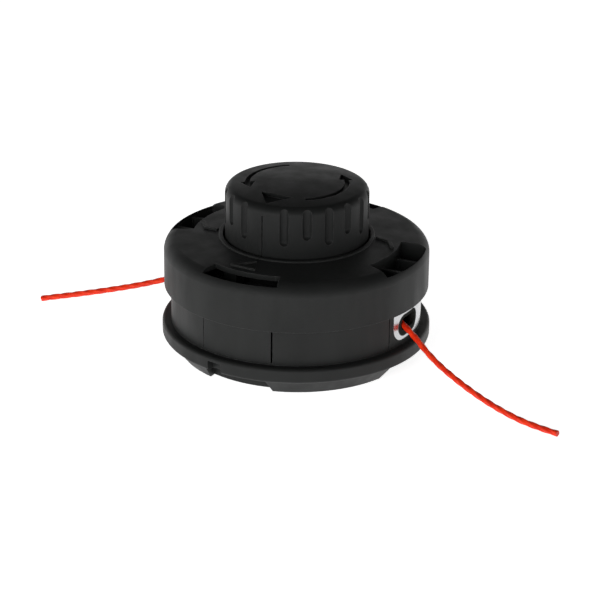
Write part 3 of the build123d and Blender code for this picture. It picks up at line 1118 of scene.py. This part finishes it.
@dataclass
class Studio:
    """White floor, soft lamps and the camera at the photograph's view."""

    azimuth_deg: float = 28.0
    elevation_deg: float = 22.2
    roll_deg: float = 0.6
    distance: float = 1200 * MM
    pixels_per_mm: float = 2.04
    image_pixels: int = 600
    axis_pixel: Pair = (296.5, 268.8)
    axis_height: float = 40 * MM
    sensor_mm: float = 36.0
    sky_low: float = 1.0
    sky_high: float = 0.03
    sky_edges: Pair = (0.42, 0.16)
    floor_half: float = 3.0
    floor_cells: int = 8
    floor_colour: Colour = (0.86, 0.86, 0.86, 1.0)
    floor_cloud_share: float = 0.985
    floor_clouds_per_metre: float = 3.0
    floor_cloud_edges: Pair = (0.2, 0.8)
    floor_roughness: float = 0.9
    floor_glow: float = 0.85
    lamps: tuple[Lamp, ...] = (
        Lamp("overhead", (0.0, 0.0, 1.5), size=3.0, watts=6.0),
        Lamp("front", (-0.1, -1.45, 0.32), size=1.0, watts=20.0),
    )

    def _camera(self) -> None:
        """Places the camera."""
        azimuth = math.radians(self.azimuth_deg)
        elevation = math.radians(self.elevation_deg)
        back = Vector((
            math.sin(azimuth) * math.cos(elevation),
            -math.cos(azimuth) * math.cos(elevation),
            math.sin(elevation),
        ))
        right = Vector((math.cos(azimuth), math.sin(azimuth), 0))
        up = back.cross(right)
        middle = self.image_pixels / 2
        roll = math.radians(self.roll_deg)
        offset = Vector((self.axis_pixel[0] - middle, middle - self.axis_pixel[1]))
        offset = Matrix.Rotation(roll, 2) @ offset * MM / self.pixels_per_mm
        axis = Vector((0, 0, self.axis_height))
        place = axis + back * self.distance
        aim = axis - right * offset.x - up * offset.y - place
        turn = aim.to_track_quat("-Z", "Y").to_matrix().to_4x4() @ Matrix.Rotation(roll, 4, "Z")
        data = bpy.data.cameras.new("camera")
        data.sensor_width = self.sensor_mm
        data.lens = self.pixels_per_mm * self.distance / MM / self.image_pixels * self.sensor_mm
        camera = bpy.data.objects.new("camera", data)
        camera.matrix_world = Matrix.Translation(place) @ turn
        bpy.context.scene.collection.objects.link(camera)
        bpy.context.scene.camera = camera

    def _world(self) -> None:
        """Makes a sky that is pale near the floor and dark above, and looks white."""
        world = bpy.data.worlds.new("studio")
        bpy.context.scene.world = world
        world.use_nodes = True
        graph = Graph(world.node_tree)
        sky = world.node_tree.nodes["Background"]
        sky.inputs["Color"].default_value = WHITE
        path = graph.add("ShaderNodeLightPath")
        split = graph.add("ShaderNodeSeparateXYZ")
        graph.link(graph.add("ShaderNodeTexCoord").outputs["Generated"], split.inputs[0])
        low = graph.ramp(split.outputs["Z"], *self.sky_edges)
        rise = graph.maths("MULTIPLY", low, self.sky_low - self.sky_high)
        lit = graph.maths("ADD", rise, self.sky_high)
        graph.link(graph.maths("MAXIMUM", path.outputs["Is Camera Ray"], lit), sky.inputs["Strength"])

    def _floor(self) -> None:
        """Lays the floor under the feet."""
        shape = bmesh.new()
        cells = self.floor_cells
        bmesh.ops.create_grid(shape, x_segments=cells, y_segments=cells, size=self.floor_half)
        floor = new_piece("floor", shape)
        material, graph, shader, vector = new_material("floor_paper")
        shader.inputs["Roughness"].default_value = self.floor_roughness
        shader.inputs["Emission Color"].default_value = WHITE
        shader.inputs["Emission Strength"].default_value = self.floor_glow
        tone = graph.ramp(graph.noise(vector, self.floor_clouds_per_metre), *self.floor_cloud_edges)
        cloud = (*(channel * self.floor_cloud_share for channel in self.floor_colour[:3]), 1.0)
        graph.link(graph.mix(tone, self.floor_colour, cloud), shader.inputs["Base Color"])
        floor.data.materials.append(material)

    def build(self) -> None:
        """Builds the studio."""
        bpy.context.scene.view_settings.view_transform = "Standard"
        self._world()
        self._floor()
        for lamp in self.lamps:
            lamp.build(Vector((0, 0, self.axis_height)))
        self._camera()


TAIL_RIGHT = LineTail("cutting_line_right", "line_tail_right", (
    (56.8, -3.4, 27.0),
    (66.6, -7.6, 23.3),
    (80.5, -13.0, 14.4),
    (97.0, -19.0, 8.8),
    (114.5, -25.0, 4.7),
    (130.5, -29.4, 2.2),
    (143.5, -32.4, 1.6),
    (154.4, -34.0, 1.6),
))
TAIL_LEFT = LineTail("cutting_line_left", "line_tail_left", (
    (-56.8, 1.9, 27.4),
    (-67.7, -1.5, 22.7),
    (-84.2, -6.0, 16.8),
    (-102.8, -10.3, 11.4),
    (-119.4, -13.7, 6.9),
    (-131.2, -15.7, 3.8),
    (-139.2, -17.1, 1.7),
))


# The edge colours below are painted highlight on the plastics' edges
BLACK_MOULDED = MouldedPlastic(
    name="black_moulded",
    colour=(0.0085, 0.009, 0.0088, 1),
    cloud_colour=(0.0115, 0.0121, 0.0118, 1),
    edge_highlight_colour=(0.055, 0.056, 0.055, 1),
    gloss=0.46,
    dull=0.6,
    grain_per_metre=1500.0,
    grain_height=0.05 * MM,
)
KNOB_MOULDED = MouldedPlastic(
    name="knob_moulded",
    colour=(0.0062, 0.0066, 0.0065, 1),
    cloud_colour=(0.0085, 0.009, 0.0088, 1),
    edge_highlight_colour=(0.05, 0.051, 0.05, 1),
    gloss=0.42,
    dull=0.56,
    grain_per_metre=1800.0,
    grain_height=0.03 * MM,
    specular=0.2,
)
SPOOL_NYLON = MouldedPlastic(
    name="spool_nylon",
    colour=(0.02, 0.02, 0.021, 1),
    cloud_colour=(0.026, 0.026, 0.027, 1),
    edge_highlight_colour=(0.06, 0.06, 0.06, 1),
    gloss=0.38,
    dull=0.5,
    grain_per_metre=2200.0,
    grain_height=0.02 * MM,
)
EYELET_POLISHED = BrightMetal(
    name="eyelet_polished",
    colour=(0.56, 0.56, 0.57, 1),
    dull_colour=(0.47, 0.47, 0.48, 1),
    gloss=0.16,
    dull=0.3,
    lines_per_metre=900.0,
    # The eyelet mouths get painted shade
    mouth=Mouth(colour=(0.024, 0.025, 0.023, 1)),
)
PLATED_STEEL = BrightMetal(
    name="plated_steel",
    colour=(0.6, 0.6, 0.61, 1),
    dull_colour=(0.45, 0.45, 0.46, 1),
    gloss=0.25,
    dull=0.45,
    lines_per_metre=700.0,
)
ORANGE_LINE = NylonLine(
    name="orange_line",
    colour=(0.7, 0.034, 0.006, 1),
    deep_colour=(0.52, 0.014, 0.003, 1),
)


def paint(node: str, material: Material) -> None:
    """Gives a CAD node that stays as it is a finish, and reports it.

    Args:
        node: The node.
        material: Its finish.
    """
    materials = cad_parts[node].data.materials
    materials.clear()
    materials.append(material)
    LOG.info("%s keeps its CAD shape", node)


def main() -> None:
    """Builds every piece and the studio."""
    logging.basicConfig(level=logging.INFO, format="%(name)s: %(message)s")
    effects = Effects()
    black = BLACK_MOULDED.material(effects)
    knob_black = KNOB_MOULDED.material(effects)
    nylon = SPOOL_NYLON.material(effects)
    polished = EYELET_POLISHED.material(effects)
    plated = PLATED_STEEL.material(effects)
    line = ORANGE_LINE.material(effects)

    FeedKnob().build(knob_black)
    LatchedCover().build(black)
    PlainCopy("housing", "flanged_housing", Slot.BLACK_PLASTIC).build(black)
    for side in ("right", "left"):
        PlainCopy("eyelet_" + side, "eyelet_plate_" + side, Slot.EYELET_METAL).build(polished)
    paint("spool", nylon)
    for node in ("wound_line_upper", "wound_line_lower"):
        paint(node, line)
    for node in ("arbor_nut", "spring_washer"):
        paint(node, plated)
    CoilSpring().build(plated)
    for tail in (TAIL_RIGHT, TAIL_LEFT):
        tail.build(line)
    Studio().build()


if __name__ == "__main__":
    main()
